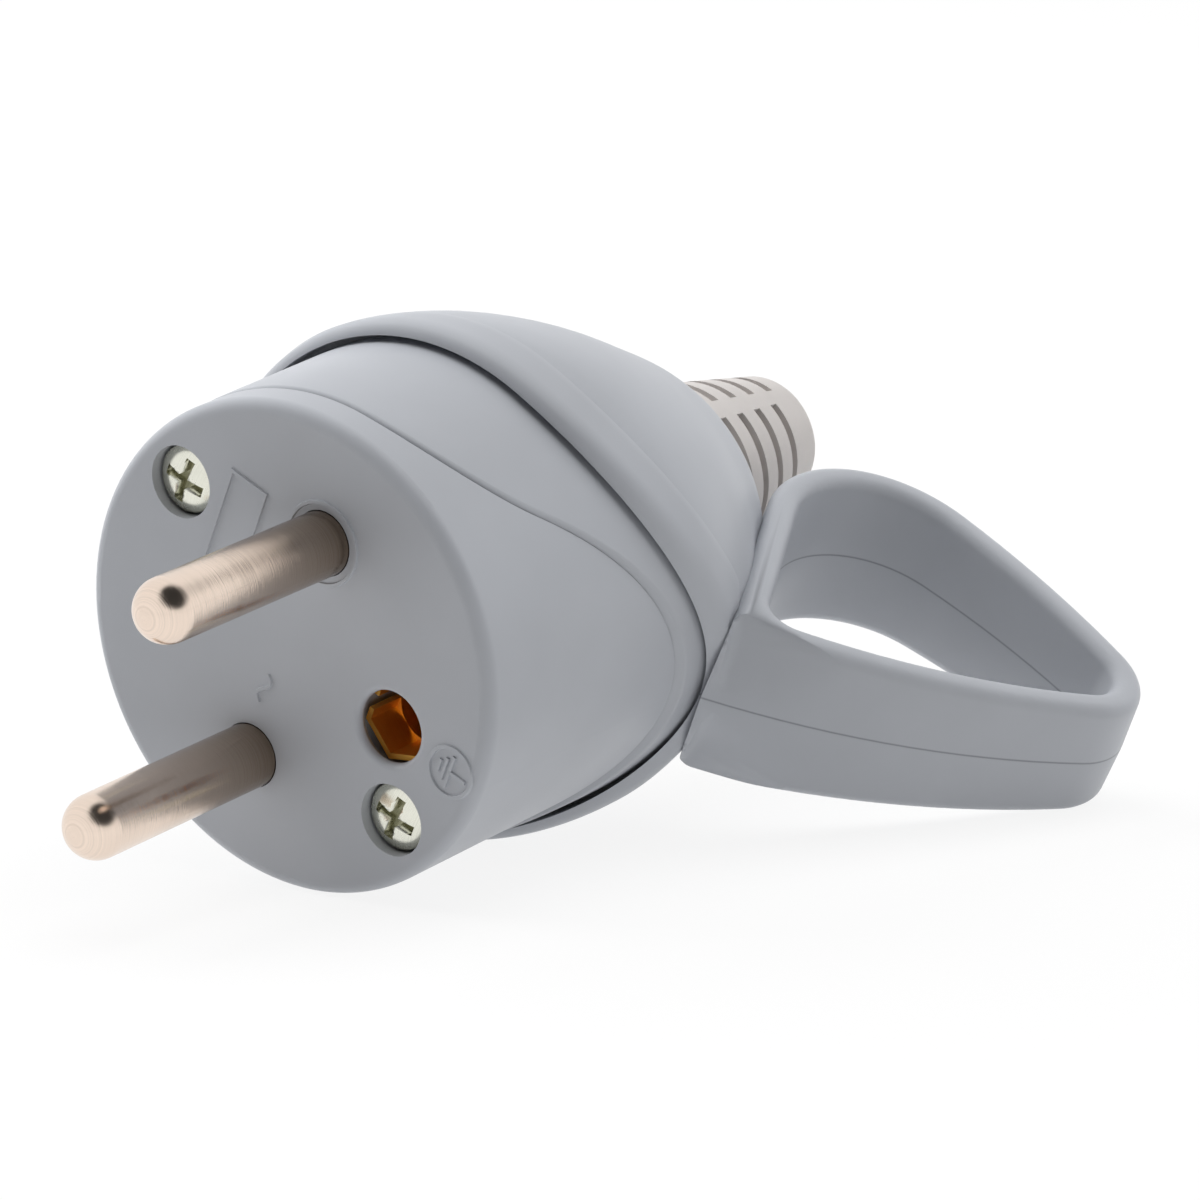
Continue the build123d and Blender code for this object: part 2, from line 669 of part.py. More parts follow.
# Cover screws: domed heads with a crossed recess, sunk in the face
with BuildPart() as cover_screws:
    for screw_x, screw_y in (near_screw, far_screw):
        with BuildSketch(side_plane(screw_x, screw_y)):
            with BuildLine():
                crown = TangentArc(
                    (0, SCREW_HEAD_TOP),
                    (SCREW_HEAD_R, SCREW_HEAD_TOP + SCREW_DOME),
                    tangent=(1, 0),
                )
                Polyline(
                    crown @ 1,
                    (SCREW_HEAD_R, SCREW_SEAT),
                    (SCREW_SHANK_R, SCREW_SEAT),
                    (SCREW_SHANK_R, screw_end - SCREW_POINT),
                    (SCREW_SHANK_R - SCREW_POINT, screw_end),
                    (0, screw_end),
                    crown @ 0,
                )
            make_face()
        revolve(axis=Axis(place(screw_x, screw_y, 0), axis_dir))
    with BuildSketch(FACE):
        with Locations(near_screw, far_screw):
            Rectangle(CROSS_LENGTH, CROSS_WIDTH)
            Rectangle(CROSS_WIDTH, CROSS_LENGTH)
    extrude(amount=SCREW_HEAD_TOP + CROSS_DEPTH, mode=Mode.SUBTRACT)
cover_screws.part.label = "cover_screws"
export_step(cover_screws.part, "parts/cover_screws.step")

# Cord clamp: a plate with an arch over the cord, held on the two posts
with BuildPart() as cord_clamp:
    with BuildSketch(FACE.offset(CLAMP_FRONT)):
        Circle(CLAMP_ARCH_R + CLAMP_ARCH_WALL)
        with Locations((CLAMP_SEAT_X, 0)):
            Rectangle(REACH, REACH, align=(Align.MIN, Align.CENTER), mode=Mode.INTERSECT)
            Rectangle(CLAMP_PLATE, 2 * CLAMP_HALF_LENGTH, align=(Align.MIN, Align.CENTER))
        Circle(CLAMP_ARCH_R, mode=Mode.SUBTRACT)
    extrude(amount=CLAMP_WIDTH)
    with BuildSketch(CLAMP):
        with Locations(*clamp_places):
            Circle(SMALL_SHANK_R + SLIDE_GAP)
    extrude(amount=CLAMP_PLATE, mode=Mode.SUBTRACT)
cord_clamp.part.label = "cord_clamp"
export_step(cord_clamp.part, "parts/cord_clamp.step")

# Clamp screws: the same small screws, longer, through the clamp into the posts
with BuildPart() as clamp_screws:
    with BuildSketch(CLAMP.offset(CLAMP_PLATE)):
        with Locations(*clamp_places):
            Circle(SMALL_HEAD_R)
    extrude(amount=SMALL_HEAD_THICK)
    with BuildSketch(CLAMP.offset(CLAMP_PLATE)):
        with Locations(*clamp_places):
            Circle(SMALL_SHANK_R)
    extrude(amount=-CLAMP_SCREW_LENGTH)
    with BuildSketch(CLAMP.offset(CLAMP_PLATE + SMALL_HEAD_THICK)):
        with Locations(*clamp_places):
            Rectangle(2 * SMALL_HEAD_R, SLOT_WIDTH)
    extrude(amount=-SLOT_DEPTH, mode=Mode.SUBTRACT)
clamp_screws.part.label = "clamp_screws"
export_step(clamp_screws.part, "parts/clamp_screws.step")
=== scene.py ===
"""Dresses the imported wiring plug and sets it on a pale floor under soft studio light."""

from __future__ import annotations

import json
import logging
import math
from collections.abc import Callable
from dataclasses import dataclass
from enum import Enum
from typing import Any

import bmesh
import bpy
from mathutils import Matrix, Vector

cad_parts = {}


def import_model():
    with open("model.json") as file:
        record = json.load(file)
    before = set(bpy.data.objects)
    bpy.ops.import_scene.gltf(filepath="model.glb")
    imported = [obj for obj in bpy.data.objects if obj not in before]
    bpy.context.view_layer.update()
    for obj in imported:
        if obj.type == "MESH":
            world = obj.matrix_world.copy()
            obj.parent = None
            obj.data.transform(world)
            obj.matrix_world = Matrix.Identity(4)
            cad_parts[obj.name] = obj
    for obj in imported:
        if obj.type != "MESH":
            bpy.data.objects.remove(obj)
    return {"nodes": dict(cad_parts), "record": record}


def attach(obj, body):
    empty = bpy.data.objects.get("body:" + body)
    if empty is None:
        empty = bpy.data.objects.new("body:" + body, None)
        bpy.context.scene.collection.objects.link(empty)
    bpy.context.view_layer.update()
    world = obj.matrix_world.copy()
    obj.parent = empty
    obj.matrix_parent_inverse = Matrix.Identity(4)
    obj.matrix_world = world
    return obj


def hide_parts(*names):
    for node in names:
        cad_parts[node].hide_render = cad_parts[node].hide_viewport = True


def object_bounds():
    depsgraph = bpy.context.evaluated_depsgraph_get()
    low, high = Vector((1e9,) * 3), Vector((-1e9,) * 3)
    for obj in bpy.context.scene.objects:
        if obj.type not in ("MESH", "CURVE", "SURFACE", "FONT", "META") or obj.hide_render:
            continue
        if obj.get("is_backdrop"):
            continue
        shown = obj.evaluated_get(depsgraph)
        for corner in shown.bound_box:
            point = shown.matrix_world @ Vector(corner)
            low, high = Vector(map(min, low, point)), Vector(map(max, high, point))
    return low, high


LOG = logging.getLogger("plug")
MM = 0.001
WELD_MM = 0.001
ROOT = "root"
WHITE = (1.0, 1.0, 1.0, 1.0)
# Sockets of the Mix node that carry colours; its other sockets bear the same names.
MIX_FROM = 6
MIX_TO = 7
MIXED = 2

Colour = tuple[float, float, float, float]
Point = tuple[float, float]
Triple = tuple[float, float, float]


def linear(hex_colour: str) -> Colour:
    """Turn an sRGB hex colour into linear RGBA.

    Args:
        hex_colour: Colour such as "#9aa0a8".

    Returns:
        Linear red, green, blue and an alpha of 1.
    """
    parts = [int(hex_colour[at:at + 2], 16) / 255 for at in (1, 3, 5)]
    bent = [part / 12.92 if part <= 0.04045 else ((part + 0.055) / 1.055) ** 2.4 for part in parts]
    return bent[0], bent[1], bent[2], 1.0


def scaled(colour: Colour, factor: float) -> Colour:
    """The same colour, lighter or darker by a factor."""
    return colour[0] * factor, colour[1] * factor, colour[2] * factor, 1.0


def add_node(
    tree: bpy.types.NodeTree, kind: str, inputs: dict[Any, Any] | None = None, **settings: Any
) -> bpy.types.Node:
    """Add a node with its settings, values and links.

    Args:
        tree: Node tree that takes the node.
        kind: Blender's identifier of the node.
        inputs: Input names or numbers, each with a value or with a socket to link from.
        **settings: Properties of the node.

    Returns:
        The new node.
    """
    node = tree.nodes.new(kind)
    for name, value in settings.items():
        setattr(node, name, value)
    for key, value in (inputs or {}).items():
        if isinstance(value, bpy.types.NodeSocket):
            tree.links.new(value, node.inputs[key])
        else:
            node.inputs[key].default_value = value
    return node


def new_material(name: str) -> bpy.types.Material:
    """Start a material with an empty node tree.

    Args:
        name: Name of the material.

    Returns:
        The new material.
    """
    material = bpy.data.materials.new(name)
    material.use_nodes = True
    material.node_tree.nodes.clear()
    return material


def seen_directly(tree: bpy.types.NodeTree, path: bpy.types.Node) -> bpy.types.NodeSocket:
    """Work out whether a ray shows the surroundings to the eye, straight or in a mirror.

    Args:
        tree: Node tree of the floor or of the world.
        path: Light Path node in that tree.

    Returns:
        Socket that is 1 for camera, glossy and transmission rays and 0 for the rest.
    """
    mirrored = add_node(tree, "ShaderNodeMath", {
        0: path.outputs["Is Glossy Ray"],
        1: path.outputs["Is Transmission Ray"],
    }, operation="MAXIMUM")
    either = add_node(tree, "ShaderNodeMath", {
        0: mirrored.outputs["Value"],
        1: path.outputs["Is Camera Ray"],
    }, operation="MAXIMUM")
    return either.outputs["Value"]


@dataclass(frozen=True)
class PlugAxes:
    """The plug's own axes in the row frame: towards the earth hole, along the pins, and back."""

    earth: Vector
    row: Vector
    back: Vector

    @classmethod
    def from_record(cls, record: dict[str, Any]) -> PlugAxes:
        """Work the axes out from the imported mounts.

        Args:
            record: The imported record.

        Returns:
            Axes of unit length.
        """
        mounts = {mount["name"]: mount for mount in record["mounts"]}
        back = -Vector(mounts["pins"]["axis"]).normalized()
        hole = Vector(mounts["earth_socket"]["pos_m"])
        earth = (hole - back * hole.dot(back)).normalized()
        return cls(earth, back.cross(earth), back)

    def turn(self, x: float, y: float, depth: float) -> Vector:
        """Direction in the row frame from parts along the plug's axes."""
        return self.earth * x + self.row * y + self.back * depth

    def place(self, x: float, y: float, depth: float) -> Vector:
        """Point in the row frame from millimetres along the plug's axes."""
        return self.turn(x, y, depth) * MM


@dataclass(frozen=True)
class PartingLine:
    """Fine witness line where the two halves of the moulding tool met."""

    across: Vector
    along: Vector
    starts_mm: float = 9.0
    fade_mm: float = 1.0
    width_mm: float = 0.13
    depth_in_grains: float = 3.0
    # Colour of the painted shade in the nick
    colour: str = "#7d8086"

    def mark(self, tree: bpy.types.NodeTree, spot: bpy.types.NodeSocket) -> bpy.types.NodeSocket:
        """Add the nodes that find the line.

        Args:
            tree: Node tree of the moulding's material.
            spot: Object coordinates.

        Returns:
            Socket that is 1 on the line and 0 away from it.
        """
        off = add_node(tree, "ShaderNodeVectorMath", {0: spot, 1: self.across}, operation="DOT_PRODUCT")
        away = add_node(tree, "ShaderNodeMath", {0: off.outputs["Value"]}, operation="ABSOLUTE")
        line = add_node(tree, "ShaderNodeMapRange", {
            "Value": away.outputs["Value"],
            "From Max": self.width_mm * MM,
            "To Min": 1.0,
            "To Max": 0.0,
        })
        run = add_node(tree, "ShaderNodeVectorMath", {0: spot, 1: self.along}, operation="DOT_PRODUCT")
        where = add_node(tree, "ShaderNodeMapRange", {
            "Value": run.outputs["Value"],
            "From Min": (self.starts_mm - self.fade_mm) * MM,
            "From Max": self.starts_mm * MM,
        })
        both = add_node(tree, "ShaderNodeMath", {
            0: line.outputs["Result"],
            1: where.outputs["Result"],
        }, operation="MULTIPLY")
        return both.outputs["Value"]


@dataclass(frozen=True)
class MouldedPolypropylene:
    """Injection-moulded polypropylene from a spark-eroded tool.

    It gives the eye an even cool grey with a broad, slightly waxy sheen and no sharp mirror image.
    """

    name: str
    colour: str = "#afb2b8"
    refraction: float = 1.49
    roughness: float = 0.42
    roughness_swing: float = 0.06
    tint_swing: float = 0.05
    grain_mm: float = 0.25
    grain_height_mm: float = 0.05
    grain_strength: float = 0.07
    cloud_mm: float = 9.0
    parting: PartingLine | None = None

    def material(self) -> bpy.types.Material:
        """Build the material.

        Returns:
            Material with eroded grain, faint flow clouds and, where given, a parting line.
        """
        material = new_material(self.name)
        tree = material.node_tree
        spot = add_node(tree, "ShaderNodeTexCoord").outputs["Object"]
        # The real grain is near 0.03 mm. It is drawn coarser, so that it breaks the sheen up.
        grain = add_node(tree, "ShaderNodeTexNoise", {
            "Vector": spot,
            "Scale": 1 / (self.grain_mm * MM),
            "Detail": 3.0,
        })
        # Flow in the tool leaves slow clouds in the colour and in the shine.
        cloud = add_node(tree, "ShaderNodeTexNoise", {
            "Vector": spot,
            "Scale": 1 / (self.cloud_mm * MM),
            "Detail": 2.0,
        })
        base = linear(self.colour)
        tint = add_node(tree, "ShaderNodeMix", {
            "Factor": cloud.outputs["Fac"],
            MIX_FROM: scaled(base, 1 - self.tint_swing),
            MIX_TO: scaled(base, 1 + self.tint_swing),
        }, data_type="RGBA")
        shine = add_node(tree, "ShaderNodeMapRange", {
            "Value": cloud.outputs["Fac"],
            "To Min": self.roughness + self.roughness_swing,
            "To Max": self.roughness - self.roughness_swing,
        })
        height, colour = grain.outputs["Fac"], tint.outputs[MIXED]
        if self.parting is not None:
            mark = self.parting.mark(tree, spot)
            # The line is a shallow nick, a few grains deep, with painted shade that darkens its colour.
            nick = add_node(tree, "ShaderNodeMath", {
                0: mark,
                1: -self.parting.depth_in_grains,
                2: height,
            }, operation="MULTIPLY_ADD")
            shade = add_node(tree, "ShaderNodeMix", {
                "Factor": mark,
                MIX_FROM: colour,
                MIX_TO: linear(self.parting.colour),
            }, data_type="RGBA")
            height, colour = nick.outputs["Value"], shade.outputs[MIXED]
        bump = add_node(tree, "ShaderNodeBump", {
            "Height": height,
            "Strength": self.grain_strength,
            "Distance": self.grain_height_mm * MM,
        })
        shader = add_node(tree, "ShaderNodeBsdfPrincipled", {
            "Base Color": colour,
            "Roughness": shine.outputs["Result"],
            "IOR": self.refraction,
            "Normal": bump.outputs["Normal"],
        })
        add_node(tree, "ShaderNodeOutputMaterial", {"Surface": shader.outputs["BSDF"]})
        return material


@dataclass(frozen=True)
class SoftThermoplastic:
    """Soft moulded thermoplastic rubber.

    It gives the eye a paler, warmer and duller grey than the body, with a dry bloom on it.
    """

    name: str
    colour: str = "#cdc8c5"
    refraction: float = 1.5
    roughness: float = 0.6
    sheen: float = 0.15
    grain_mm: float = 0.3
    grain_height_mm: float = 0.06
    grain_strength: float = 0.18
    bloom_mm: float = 2.4
    bloom_dark: float = 0.92
    bloom_light: float = 1.06

    def material(self) -> bpy.types.Material:
        """Build the material.

        Returns:
            Matte material with a fine grain, a patchy bloom and a weak sheen.
        """
        material = new_material(self.name)
        tree = material.node_tree
        spot = add_node(tree, "ShaderNodeTexCoord").outputs["Object"]
        grain = add_node(tree, "ShaderNodeTexNoise", {
            "Vector": spot,
            "Scale": 1 / (self.grain_mm * MM),
            "Detail": 4.0,
        })
        bloom = add_node(tree, "ShaderNodeTexNoise", {
            "Vector": spot,
            "Scale": 1 / (self.bloom_mm * MM),
            "Detail": 3.0,
        })
        base = linear(self.colour)
        tint = add_node(tree, "ShaderNodeMix", {
            "Factor": bloom.outputs["Fac"],
            MIX_FROM: scaled(base, self.bloom_dark),
            MIX_TO: scaled(base, self.bloom_light),
        }, data_type="RGBA")
        bump = add_node(tree, "ShaderNodeBump", {
            "Height": grain.outputs["Fac"],
            "Strength": self.grain_strength,
            "Distance": self.grain_height_mm * MM,
        })
        shader = add_node(tree, "ShaderNodeBsdfPrincipled", {
            "Base Color": tint.outputs[MIXED],
            "Roughness": self.roughness,
            "IOR": self.refraction,
            "Sheen Weight": self.sheen,
            "Normal": bump.outputs["Normal"],
        })
        add_node(tree, "ShaderNodeOutputMaterial", {"Surface": shader.outputs["BSDF"]})
        return material


class Metal(Enum):
    """Metals on the plug: colour, colour of its tarnish and of its painted darkening, and roughness."""

    NICKEL_PLATE = ("#eedccd", "#74634f", 0.2)
    BRASS_STRIP = ("#ffc864", "#d68a30", 0.45)
    ZINC_PLATE = ("#e6e6da", "#8d8c72", 0.24)


@dataclass(frozen=True)
class WorkedMetal:
    """Turned, drawn or pressed metal.

    It gives the eye bright mirror images, broken up by the lines that the tool left across its axis.
    """

    name: str
    metal: Metal
    axis: Vector
    back: Vector
    # Depths between which the colour is painted darker, standing in for shade and reflection, and how far
    painted_darkening_from_mm: float
    painted_darkening_to_mm: float
    painted_darkening_share: float
    line_mm: float = 0.09
    line_height_mm: float = 0.03
    line_strength: float = 0.32
    stain_mm: float = 0.7
    stain_from: float = 0.4
    stain_to: float = 0.7
    stain_share: float = 0.11
    smoother: float = 0.06
    rougher: float = 0.1

    def material(self) -> bpy.types.Material:
        """Build the material.

        Returns:
            Metal with tool lines and a tarnish in its colour and shine, darkened towards one depth with
            painted shade and reflection.
        """
        bright, tarnish_and_darkening_colour, roughness = self.metal.value
        material = new_material(self.name)
        tree = material.node_tree
        spot = add_node(tree, "ShaderNodeTexCoord").outputs["Object"]
        along = add_node(tree, "ShaderNodeVectorMath", {0: spot, 1: self.axis}, operation="DOT_PRODUCT")
        # Real tool lines are about 0.05 mm apart. They are drawn as coarse as they need to show.
        lines = add_node(tree, "ShaderNodeTexNoise", {
            "W": along.outputs["Value"],
            "Scale": 1 / (self.line_mm * MM),
            "Detail": 2.0,
        }, noise_dimensions="1D")
        stain = add_node(tree, "ShaderNodeTexNoise", {
            "Vector": spot,
            "Scale": 1 / (self.stain_mm * MM),
            "Detail": 4.0,
        })
        # The tarnish sits in the tool lines, so that it runs round with them.
        speckled = add_node(tree, "ShaderNodeMapRange", {
            "Value": lines.outputs["Fac"],
            "From Min": self.stain_from,
            "From Max": self.stain_to,
            "To Max": self.stain_share,
        })
        # Painted shade and reflection: the colour goes darker towards one depth.
        depth = add_node(tree, "ShaderNodeVectorMath", {0: spot, 1: self.back}, operation="DOT_PRODUCT")
        painted_darkening_by_depth = add_node(tree, "ShaderNodeMapRange", {
            "Value": depth.outputs["Value"],
            "From Min": self.painted_darkening_from_mm * MM,
            "From Max": self.painted_darkening_to_mm * MM,
            "To Max": self.painted_darkening_share,
        })
        tarnish_and_painted_darkening = add_node(tree, "ShaderNodeMath", {
            0: speckled.outputs["Result"],
            1: painted_darkening_by_depth.outputs["Result"],
        }, operation="ADD", use_clamp=True)
        tint = add_node(tree, "ShaderNodeMix", {
            "Factor": tarnish_and_painted_darkening.outputs["Value"],
            MIX_FROM: linear(bright),
            MIX_TO: linear(tarnish_and_darkening_colour),
        }, data_type="RGBA")
        shine = add_node(tree, "ShaderNodeMapRange", {
            "Value": stain.outputs["Fac"],
            "To Min": roughness - self.smoother,
            "To Max": roughness + self.rougher,
        })
        bump = add_node(tree, "ShaderNodeBump", {
            "Height": lines.outputs["Fac"],
            "Strength": self.line_strength,
            "Distance": self.line_height_mm * MM,
        })
        shader = add_node(tree, "ShaderNodeBsdfPrincipled", {
            "Base Color": tint.outputs[MIXED],
            "Metallic": 1.0,
            "Roughness": shine.outputs["Result"],
            "Normal": bump.outputs["Normal"],
        })
        add_node(tree, "ShaderNodeOutputMaterial", {"Surface": shader.outputs["BSDF"]})
        return material


def dress(node: bpy.types.Object, material: bpy.types.Material) -> None:
    """Give a CAD node one material all over.

    Args:
        node: Object of the CAD node.
        material: Material that it takes.
    """
    node.data.materials.clear()
    node.data.materials.append(material)
    LOG.info("dressed %s in %s", node.name, material.name)


def placed(name: str, made: bmesh.types.BMesh) -> bpy.types.Object:
    """Turn a finished mesh into an object of the scene.

    Args:
        name: Name of the object.
        made: Mesh, which is used up.

    Returns:
        The new object.
    """
    bmesh.ops.recalc_face_normals(made, faces=made.faces)
    mesh = bpy.data.meshes.new(name)
    made.to_mesh(mesh)
    made.free()
    holder = bpy.data.objects.new(name, mesh)
    bpy.context.collection.objects.link(holder)
    return holder


def add_piece(
    name: str, made: bmesh.types.BMesh, material: bpy.types.Material
) -> bpy.types.Object:
    """Turn a finished mesh into a piece that rides with the plug.

    Args:
        name: Name of the piece.
        made: Mesh in the row frame, which is used up.
        material: Material that it takes.

    Returns:
        The new piece.
    """
    piece = placed(name, made)
    piece.data.materials.append(material)
    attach(piece, ROOT)
    LOG.info("built %s with %d faces", name, len(piece.data.polygons))
    return piece


def copied(node: bpy.types.Object) -> bmesh.types.BMesh:
    """Copy a CAD node's mesh.

    Args:
        node: Object of the CAD node, which stays as it is.

    Returns:
        The mesh in millimetres, with the corners that its shading splits welded.
    """
    made = bmesh.new()
    made.from_mesh(node.data)
    bmesh.ops.scale(made, vec=(1 / MM, 1 / MM, 1 / MM), verts=made.verts)
    bmesh.ops.remove_doubles(made, verts=made.verts, dist=WELD_MM)
    return made


def add_smooth_piece(
    name: str, made: bmesh.types.BMesh, material: bpy.types.Material, smooth_below: float
) -> bpy.types.Object:
    """Turn a mesh in millimetres into a piece with smooth faces and sharp edges.

    Args:
        name: Name of the piece.
        made: Mesh in the row frame's axes and in millimetres, which is used up.
        material: Material that it takes.
        smooth_below: Angle between two faces, in degrees, above which their edge is sharp.

    Returns:
        The new piece.
    """
    bmesh.ops.scale(made, vec=(MM, MM, MM), verts=made.verts)
    for face in made.faces:
        face.smooth = True
    piece = add_piece(name, made, material)
    piece.data.set_sharp_from_angle(angle=math.radians(smooth_below))
    return piece


@dataclass(frozen=True)
class RaisedLine:
    """Line of plastic that stands out of a moulded surface, with sloped sides for the draft."""

    width_mm: float = 0.22
    height_mm: float = 0.15
    slope_mm: float = 0.08
    sunk_mm: float = 0.05

    def lay(self, made: bmesh.types.BMesh, path: list[Vector], outward: list[Vector], closed: bool) -> None:
        """Add the line along a path.

        Args:
            made: Mesh that takes the line.
            path: Points on the surface, in the row frame.
            outward: Direction out of the surface at each point.
            closed: Whether the path comes back to its start.
        """
        half, slope = self.width_mm / 2 * MM, self.slope_mm * MM
        top, foot = self.height_mm * MM, -self.sunk_mm * MM
        profile = ((-half - slope, foot), (-half, top), (half, top), (half + slope, foot))
        count = len(path)
        sections = []
        for at, (spot, out) in enumerate(zip(path, outward)):
            coming = spot - path[at - 1] if closed or at > 0 else path[1] - spot
            leaving = path[(at + 1) % count] - spot if closed or at + 1 < count else coming
            side = out.cross(coming).normalized()
            mitre = (side + out.cross(leaving).normalized()).normalized()
            mitre /= mitre.dot(side)
            sections.append([made.verts.new(spot + mitre * aside + out * rise) for aside, rise in profile])
        following = sections[1:] + sections[:1] if closed else sections[1:]
        for near, far in zip(sections, following):
            for at in range(len(profile)):
                nxt = (at + 1) % len(profile)
                made.faces.new((near[at], far[at], far[nxt], near[nxt]))
        if not closed:
            made.faces.new(sections[0])
            made.faces.new(sections[-1])


@dataclass
class PullRing:
    """The pull ring, with its collar's front edge further forward and the loop's root trimmed soft.

    Sizes are in millimetres along the plug's own axes. The mesh is worked on in millimetres too and
    scaled back at the end.
    """

    axes: PlugAxes
    material: bpy.types.Material
    steps: int = 240
    smooth_below: float = 35.0

    # Collar and dome, as the solid has them
    collar_r: float = 20.1
    collar_tilt: float = 13.0
    shoulder_depth: float = 20.0
    dome_length: float = 19.8
    dome_drop: float = 8.2
    dome_fullness: float = 1.5

    # Front edge of the collar, which bends back towards the loop
    edge_low: float = 15.25
    edge_bend_x: float = 2.0
    edge_bend_r: float = 19.5
    edge_round: float = 1.2

    # Lip that carries that edge and dips into the collar at its back
    lip_bore_r: float = 19.16
    lip_back_r: float = 18.95
    lip_reach: float = 4.6
    lip_deepest: float = 28.5
    lip_proud: float = 0.02
    lip_dip: float = 0.15
    lip_corners: int = 6

    # Front of the loop's root, and how far it lies back on both sides, with angles in degrees
    nose_depth: float = 25.0
    nose_sector: float = 21.0
    root_sector: float = 14.0
    root_setback: float = 1.1
    root_sunk: float = 0.03

    # Hollow rounding from the collar to the loop, cut by a tool that reaches out past the loop
    root_round: float = 1.2
    root_lean: float = 60.0
    root_corners: int = 8
    flare_r: float = 30.0
    far_r: float = 40.0

    def _edge(self, x: float) -> float:
        """Depth of the collar's front edge at a height towards the loop."""
        run = max(x - self.edge_bend_x, 0)
        return self.edge_low + self.edge_bend_r - math.sqrt(self.edge_bend_r**2 - run**2)

    def _dome_r(self, x: float, depth: float) -> float:
        """Work out the radius of the collar and of the dome, which leans back on the loop's side.

        Args:
            x: Height towards the loop.
            depth: Depth behind the face.

        Returns:
            Radius there.
        """
        behind = depth - self.shoulder_depth - x * math.tan(math.radians(self.collar_tilt))
        share = max(behind / self.dome_length, 0)
        return self.collar_r - self.dome_drop * share**self.dome_fullness

    def _lip_profile(self, turn: float) -> list[Point]:
        """Section of the collar's lip.

        Args:
            turn: Angle round the axis, from the loop.

        Returns:
            Radius and depth of each corner, from the bore over the rounded front edge to the back.
        """
        section = []
        for step in range(self.lip_corners + 1):
            radius = self.lip_bore_r + (self.collar_r - self.lip_bore_r) * step / self.lip_corners
            inside = radius - self.collar_r + self.edge_round
            rounding = self.edge_round - math.sqrt(self.edge_round**2 - inside**2)
            section.append((radius, self._edge(radius * math.cos(turn)) + rounding))
        x = self.collar_r * math.cos(turn)
        front = section.pop()[1]
        back = max(min(self._edge(x) + self.lip_reach, self.lip_deepest), front + self.edge_round)
        for step in range(self.lip_corners):
            depth = front + (back - front) * step / self.lip_corners
            section.append((self._dome_r(x, depth) + self.lip_proud, depth))
        section.append((self._dome_r(x, back) - self.lip_dip, back))
        section.append((self.lip_back_r, back))
        return section

    def _root_profile(self, turn: float) -> list[Point]:
        """Section of the tool that trims the loop's root to the collar and flares out of it.

        Args:
            turn: Angle round the axis, from the loop.

        Returns:
            Radius and depth of each corner.
        """
        aside = math.degrees(math.acos(math.cos(turn)))
        share = min(aside / self.root_sector, 1)
        # A smooth step, so that the setback starts and ends without a kink
        setback = self.root_setback * share * share * (3 - 2 * share)
        clear_r = self.collar_r + self.lip_proud - self.root_sunk * share
        nose_r = self.lip_bore_r if aside < self.nose_sector else clear_r
        root = self.nose_depth + setback
        # The corner a quarter of the way back makes the front of the root bulge like a rounded edge.
        section = [
            (nose_r, self.edge_low),
            (nose_r, self.nose_depth),
            ((nose_r + clear_r) / 2, self.nose_depth + setback / 4),
            (clear_r, root),
        ]
        for step in range(1, self.root_corners + 1):
            lean = math.radians(self.root_lean * step / self.root_corners)
            radius = clear_r + self.root_round * (1 - math.cos(lean))
            section.append((radius, root + self.root_round * math.sin(lean)))
        radius, depth = section[-1]
        end = depth + (self.flare_r - radius) / math.tan(math.radians(self.root_lean))
        section += [(self.flare_r, end), (self.far_r, end), (self.far_r, self.edge_low)]
        return section

    def _turn(self, made: bmesh.types.BMesh, profile: Callable[[float], list[Point]]) -> None:
        """Add a closed ring round the plug's axis.

        Args:
            made: Mesh that takes the ring, in millimetres.
            profile: Section of the ring at an angle.
        """
        sections = []
        for step in range(self.steps):
            turn = math.tau * step / self.steps
            sections.append([
                made.verts.new(self.axes.turn(radius * math.cos(turn), radius * math.sin(turn), depth))
                for radius, depth in profile(turn)
            ])
        for near, far in zip(sections, sections[1:] + sections[:1]):
            for at, corner in enumerate(near):
                made.faces.new((near[at - 1], corner, far[at], far[at - 1]))

    def build(self, node: bpy.types.Object) -> None:
        """Build the ring from the CAD node that it stands for.

        Args:
            node: Object of the CAD ring, which stays as it is.
        """
        work = placed("ring_work", copied(node))
        made = bmesh.new()
        self._turn(made, self._root_profile)
        tool = placed("root_work", made)
        trim = work.modifiers.new("trim", "BOOLEAN")
        trim.object = tool
        trim.operation = "DIFFERENCE"
        trim.solver = "EXACT"
        made = bmesh.new()
        made.from_object(work, bpy.context.evaluated_depsgraph_get())
        bpy.data.objects.remove(work)
        bpy.data.objects.remove(tool)
        self._turn(made, self._lip_profile)
        piece = add_smooth_piece(
            "pull_ring_moulding", made, self.material, self.smooth_below
        )
        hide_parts("pull_ring")


@dataclass
class Housing:
    """Front body, rear cover, pull ring and cord clamp, all of one grey moulding compound."""

    axes: PlugAxes

    def dress_nodes(self, nodes: dict[str, bpy.types.Object]) -> bpy.types.Material:
        """Dress the moulded nodes, with a parting line on the loop.

        Args:
            nodes: Objects of the CAD nodes by name.

        Returns:
            The plain moulded material, for small pieces of the same moulding.
        """
        plain = MouldedPolypropylene("moulded_polypropylene").material()
        parting = PartingLine(self.axes.row, self.axes.earth)
        ring = MouldedPolypropylene("moulded_polypropylene_ring", parting=parting).material()
        for name in ("front_body", "rear_cover", "cord_clamp"):
            dress(nodes[name], plain)
        PullRing(self.axes, ring).build(nodes["pull_ring"])
        return plain


@dataclass
class Boot:
    """The slit boot that keeps the cord from kinking."""

    def dress_nodes(self, nodes: dict[str, bpy.types.Object]) -> None:
        """Dress the boot in its softer plastic."""
        dress(nodes["cord_boot"], SoftThermoplastic("soft_thermoplastic_rubber").material())


